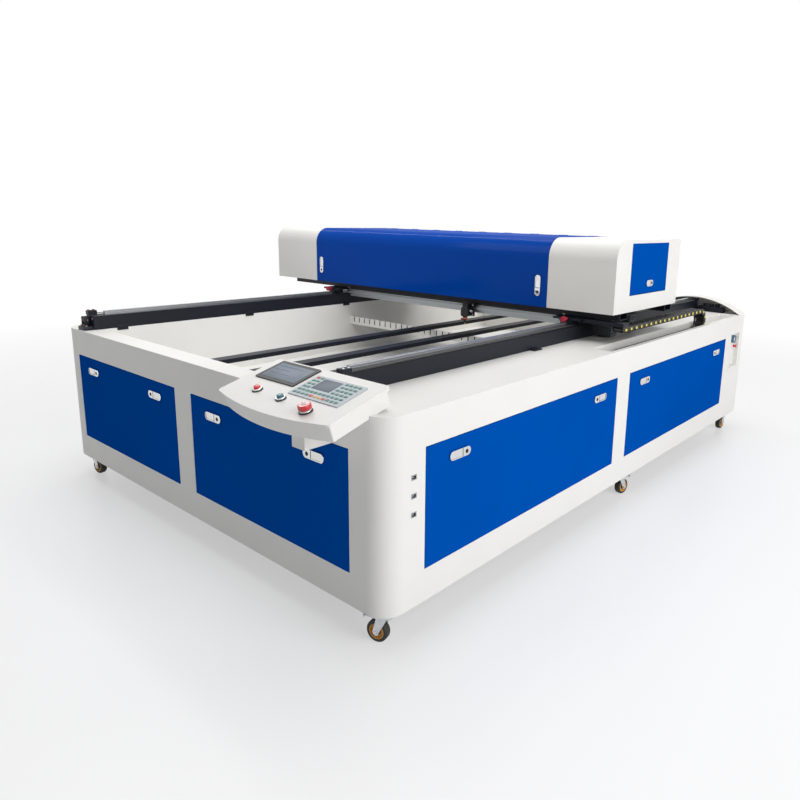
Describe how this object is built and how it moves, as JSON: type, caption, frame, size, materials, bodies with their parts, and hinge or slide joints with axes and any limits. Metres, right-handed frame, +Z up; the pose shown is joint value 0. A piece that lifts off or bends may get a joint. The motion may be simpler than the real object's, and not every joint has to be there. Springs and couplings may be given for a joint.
{
  "type": "carbon dioxide laser cutting machine",
  "caption": "Flatbed carbon dioxide laser cutter: sheet body on casters, open bed, travelling gantry with a covered tube, cutting head, cable chain and a sloping console.",
  "frame": {"origin": "on the floor, under the middle of the whole machine", "axes": "+Z up, the console and front at -Y, +X to the right of someone facing the front; the gantry travels along Y"},
  "size_m": [2.653, 3.4536, 1.236],
  "materials": {
    "white_sheet": "satin powder coat",
    "blue_panel": "satin powder coat",
    "black_beam": "satin",
    "machine_steel": "ground",
    "aluminium": "anodised",
    "zinc": "zinc plated",
    "black_plastic": "moulded",
    "grey_plastic": "moulded",
    "rubber": "matt",
    "red_rubber": "matt",
    "glass": "clear",
    "red_plastic": "moulded",
    "green_plastic": "moulded",
    "tyre": "matt"
  },
  "bodies": {
    "base": {"cabinet": "white_sheet", "top_deck": "white_sheet", "bed_well": "white_sheet", "bed_bars": "black_beam", "comb_strips": "machine_steel", "chassis": "black_beam", "rail_beams": "black_beam", "linear_rails": "machine_steel", "rail_end_blocks": "black_beam", "y_belts": "rubber", "chain_trough": "white_sheet", "chain_lower_run": "black_plastic", "rear_hood": "white_sheet", "exhaust_collar": "zinc", "port_sockets": "black_plastic", "caster_plates": "zinc", "console_box": "white_sheet", "console_plate": "white_sheet", "console_arm": "white_sheet", "touch_display": "black_plastic", "keypad": "grey_plastic"},
    "gantry": {"gantry_beam": "black_beam", "x_guide": "aluminium", "x_belt": "rubber", "gantry_carriages": "black_beam", "bumpers": "red_rubber", "y_motors": "black_beam", "laser_tube": "glass", "tube_mounts": "aluminium", "left_end_cap": "white_sheet", "right_end_cap": "white_sheet", "rear_cover": "white_sheet", "chain_upper_run": "black_plastic"},
    "chain_loop": {"chain_bend": "black_plastic"},
    "head": {"head_carriage": "aluminium"},
    "focus": {"focus_tube": "machine_steel"},
    "lid": {"front_lid": "blue_panel"},
    "left_door": {"left_end_door": "blue_panel"},
    "right_door": {"right_end_door": "blue_panel"},
    "stop_push": {"estop_button": "red_plastic"},
    "red_push": {"red_button": "red_plastic"},
    "green_push": {"green_button": "green_plastic"},
    "front_left_panel_body": {"front_left_panel": "blue_panel"},
    "front_right_panel_body": {"front_right_panel": "blue_panel"},
    "left_front_panel_body": {"left_front_panel": "blue_panel"},
    "left_rear_panel_body": {"left_rear_panel": "blue_panel"},
    "right_front_panel_body": {"right_front_panel": "blue_panel"},
    "right_rear_panel_body": {"right_rear_panel": "blue_panel"},
    "front_left_swivel": {"front_left_fork": "zinc"},
    "front_left_roller": {"front_left_wheel": "tyre"},
    "middle_left_swivel": {"middle_left_fork": "zinc"},
    "middle_left_roller": {"middle_left_wheel": "tyre"},
    "rear_left_swivel": {"rear_left_fork": "zinc"},
    "rear_left_roller": {"rear_left_wheel": "tyre"},
    "front_right_swivel": {"front_right_fork": "zinc"},
    "front_right_roller": {"front_right_wheel": "tyre"},
    "middle_right_swivel": {"middle_right_fork": "zinc"},
    "middle_right_roller": {"middle_right_wheel": "tyre"},
    "rear_right_swivel": {"rear_right_fork": "zinc"},
    "rear_right_roller": {"rear_right_wheel": "tyre"}
  },
  "joints": [
    {"name": "gantry_slide", "type": "slide", "parent": "base", "child": "gantry", "axis": [0, 1, 0], "range_m": [-1.355, 0.87]},
    {"name": "chain_follow", "type": "slide", "parent": "gantry", "child": "chain_loop", "axis": [0, 1, 0], "range_m": [-0.44, 0.68], "deforming": ["chain_upper_run", "chain_lower_run"]},
    {"name": "head_slide", "type": "slide", "parent": "gantry", "child": "head", "axis": [1, 0, 0], "range_m": [-0.94, 0.51]},
    {"name": "focus_slide", "type": "slide", "parent": "head", "child": "focus", "axis": [0, 0, 1], "range_m": [-0.01, 0.01]},
    {"name": "lid_hinge", "type": "hinge", "parent": "gantry", "child": "lid", "pos_m": [-0.02, 0.62284, 1.236], "axis": [-1, 0, 0], "range_deg": [0, 80]},
    {"name": "left_door_hinge", "type": "hinge", "parent": "gantry", "child": "left_door", "pos_m": [-1.3235, 0.36484, 1.2197], "axis": [0, 1, 0], "range_deg": [0, 95]},
    {"name": "right_door_hinge", "type": "hinge", "parent": "gantry", "child": "right_door", "pos_m": [1.2305, 0.36484, 1.2197], "axis": [0, -1, 0], "range_deg": [0, 95]},
    {"name": "front_left_panel_tilt", "type": "hinge", "parent": "base", "child": "front_left_panel_body", "pos_m": [-0.32525, -1.53716, 0.2283], "axis": [1, 0, 0], "range_deg": [0, 60]},
    {"name": "front_right_panel_tilt", "type": "hinge", "parent": "base", "child": "front_right_panel_body", "pos_m": [0.71025, -1.53716, 0.2283], "axis": [1, 0, 0], "range_deg": [0, 60]},
    {"name": "left_front_panel_tilt", "type": "hinge", "parent": "base", "child": "left_front_panel_body", "pos_m": [-0.9125, -0.72866, 0.2283], "axis": [0, -1, 0], "range_deg": [0, 60]},
    {"name": "left_rear_panel_tilt", "type": "hinge", "parent": "base", "child": "left_rear_panel_body", "pos_m": [-0.9125, 0.68484, 0.2283], "axis": [0, -1, 0], "range_deg": [0, 60]},
    {"name": "right_front_panel_tilt", "type": "hinge", "parent": "base", "child": "right_front_panel_body", "pos_m": [1.3235, -0.72866, 0.2283], "axis": [0, 1, 0], "range_deg": [0, 60]},
    {"name": "right_rear_panel_tilt", "type": "hinge", "parent": "base", "child": "right_rear_panel_body", "pos_m": [1.3235, 0.68484, 0.2283], "axis": [0, 1, 0], "range_deg": [0, 60]},
    {"name": "front_left_swivel_turn", "type": "hinge", "parent": "base", "child": "front_left_swivel", "pos_m": [-0.8575, -1.47516, 0.1117], "axis": [0, 0, 1], "continuous": true},
    {"name": "front_left_wheel_spin", "type": "hinge", "parent": "front_left_swivel", "child": "front_left_roller", "pos_m": [-0.82796, -1.46995, 0.0375], "axis": [-0.1736, 0.9848, 0], "continuous": true},
    {"name": "middle_left_swivel_turn", "type": "hinge", "parent": "base", "child": "middle_left_swivel", "pos_m": [-0.8575, 0.10284, 0.1117], "axis": [0, 0, 1], "continuous": true},
    {"name": "middle_left_wheel_spin", "type": "hinge", "parent": "middle_left_swivel", "child": "middle_left_roller", "pos_m": [-0.8575, 0.13284, 0.0375], "axis": [-1, 0, 0], "continuous": true},
    {"name": "rear_left_swivel_turn", "type": "hinge", "parent": "base", "child": "rear_left_swivel", "pos_m": [-0.8575, 1.60484, 0.1117], "axis": [0, 0, 1], "continuous": true},
    {"name": "rear_left_wheel_spin", "type": "hinge", "parent": "rear_left_swivel", "child": "rear_left_roller", "pos_m": [-0.84974, 1.63382, 0.0375], "axis": [-0.9659, 0.2588, 0], "continuous": true},
    {"name": "front_right_swivel_turn", "type": "hinge", "parent": "base", "child": "front_right_swivel", "pos_m": [1.2685, -1.47516, 0.1117], "axis": [0, 0, 1], "continuous": true},
    {"name": "front_right_wheel_spin", "type": "hinge", "parent": "front_right_swivel", "child": "front_right_roller", "pos_m": [1.23952, -1.48292, 0.0375], "axis": [0.2588, -0.9659, 0], "continuous": true},
    {"name": "middle_right_swivel_turn", "type": "hinge", "parent": "base", "child": "middle_right_swivel", "pos_m": [1.2685, 0.10284, 0.1117], "axis": [0, 0, 1], "continuous": true},
    {"name": "middle_right_wheel_spin", "type": "hinge", "parent": "middle_right_swivel", "child": "middle_right_roller", "pos_m": [1.27371, 0.13239, 0.0375], "axis": [-0.9848, 0.1736, 0], "continuous": true},
    {"name": "rear_right_swivel_turn", "type": "hinge", "parent": "base", "child": "rear_right_swivel", "pos_m": [1.2685, 1.60484, 0.1117], "axis": [0, 0, 1], "continuous": true},
    {"name": "rear_right_wheel_spin", "type": "hinge", "parent": "rear_right_swivel", "child": "rear_right_roller", "pos_m": [1.26588, 1.57496, 0.0375], "axis": [0.9962, -0.0872, 0], "continuous": true},
    {"name": "red_press", "type": "slide", "parent": "base", "child": "red_push", "axis": [0, 0.2689, -0.9632], "range_m": [0, 0.004], "stiffness_N_per_m": 600, "springref_m": -0.004},
    {"name": "green_press", "type": "slide", "parent": "base", "child": "green_push", "axis": [0, 0.2689, -0.9632], "range_m": [0, 0.004], "stiffness_N_per_m": 600, "springref_m": -0.004},
    {"name": "stop_press", "type": "slide", "parent": "base", "child": "stop_push", "axis": [0, 0.2689, -0.9632], "range_m": [0, 0.004], "stiffness_N_per_m": 600, "springref_m": -0.004}
  ],
  "couplings": [
    {"joint": "chain_follow", "follows": "gantry_slide", "ratio": -0.5}
  ]
}
